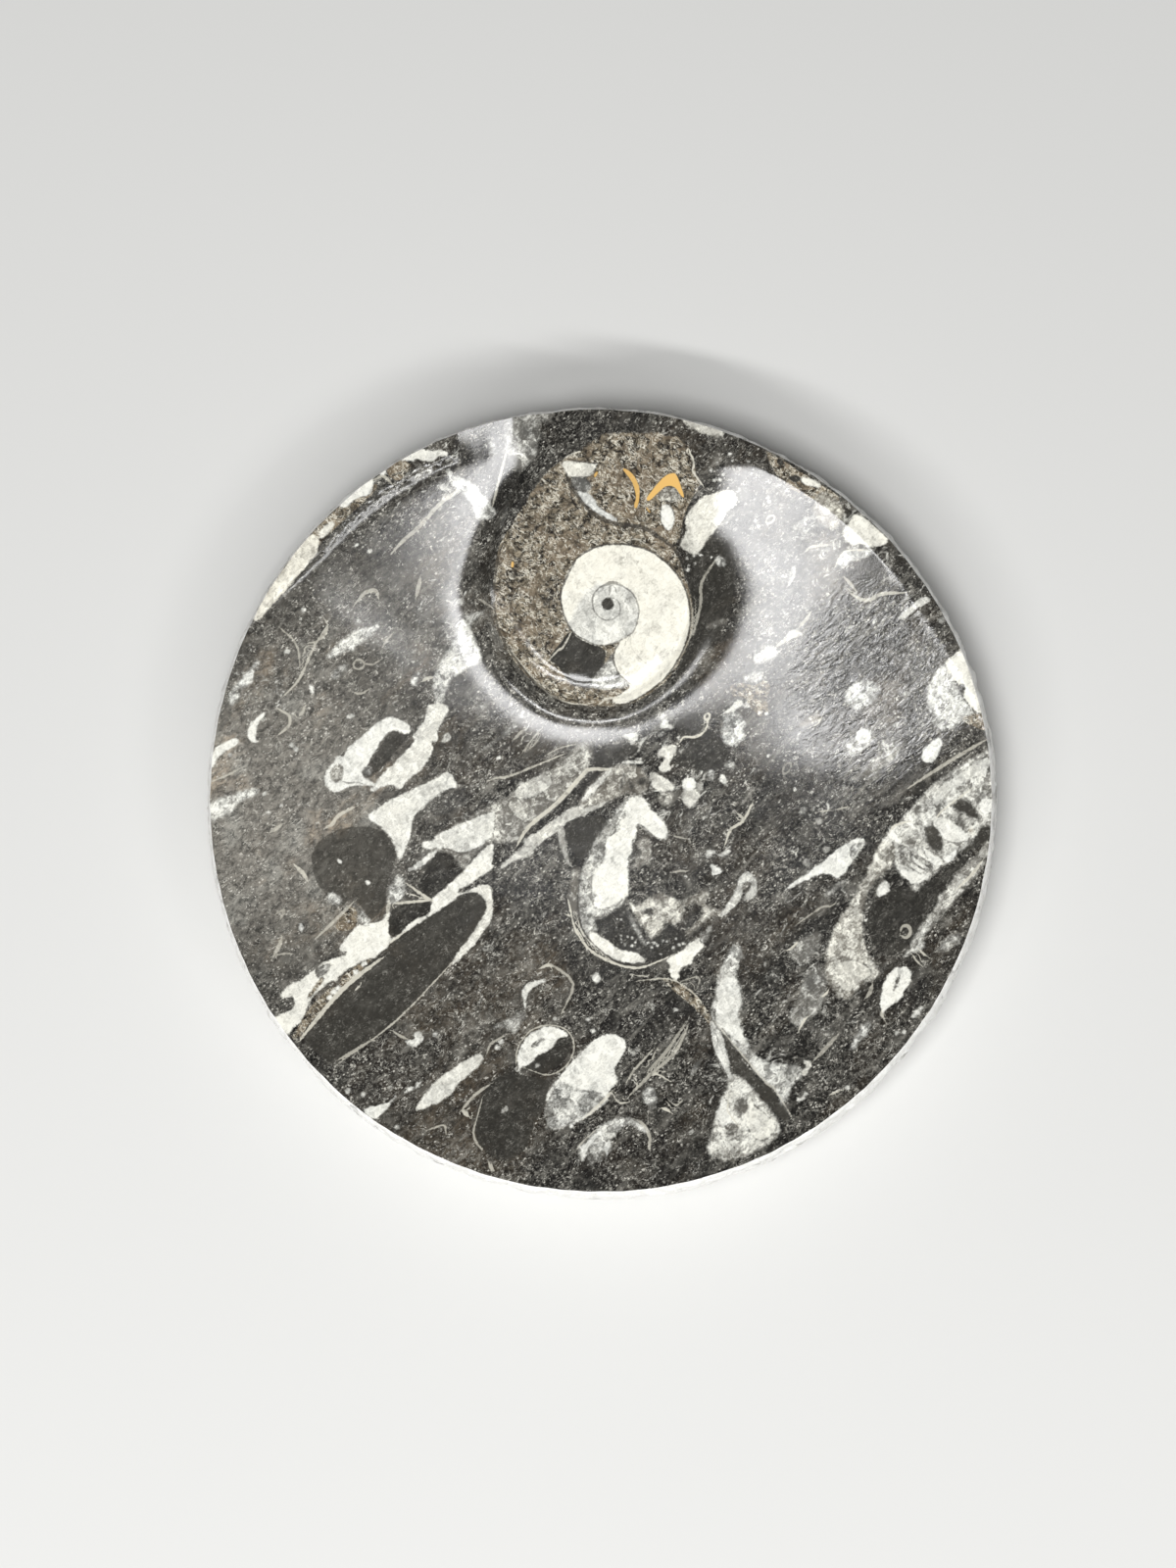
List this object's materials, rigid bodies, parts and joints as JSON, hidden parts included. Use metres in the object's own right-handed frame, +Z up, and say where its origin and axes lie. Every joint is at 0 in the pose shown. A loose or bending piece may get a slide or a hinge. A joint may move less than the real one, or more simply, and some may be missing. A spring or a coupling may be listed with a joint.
{
  "type": "orthoceras fossil dish",
  "caption": "Shallow round dish carved from one slab of dark fossil limestone, with a raised goniatite boss joined to its rim, a polished basin and a rough side.",
  "frame": {"origin": "centre of the sawn underside, on the surface that the dish stands on", "axes": "+Z up, +Y from the centre towards the goniatite boss at the back, +X to the right"},
  "size_m": [0.2024, 0.2038, 0.022],
  "materials": {
    "fossil_limestone": "polished face with pale calcite fossils, rough pitched side, sawn underside"
  },
  "bodies": {
    "root": {"fossil_dish": "fossil_limestone"}
  },
  "joints": []
}
